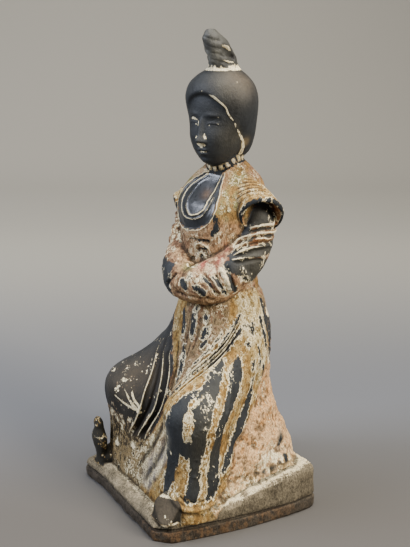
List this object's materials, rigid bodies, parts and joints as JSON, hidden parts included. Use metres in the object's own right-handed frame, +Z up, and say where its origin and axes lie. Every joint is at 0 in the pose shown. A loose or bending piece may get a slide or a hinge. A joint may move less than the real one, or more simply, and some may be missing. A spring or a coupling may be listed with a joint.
{
  "type": "terracotta votive figure",
  "caption": "Seated court lady in painted terracotta, hands hidden in her joined sleeves, hair dressed high with a topknot, on a low square base.",
  "frame": {"origin": "on the underside, below the middle of the base", "axes": "+Z up, -Y the way she faces, +X her left"},
  "size_m": [0.1472, 0.1436, 0.381],
  "materials": {
    "painted_terracotta": "worn dark slip and ochre paint over matt fired clay"
  },
  "bodies": {
    "root": {"votive_figure": "painted_terracotta"}
  },
  "joints": []
}
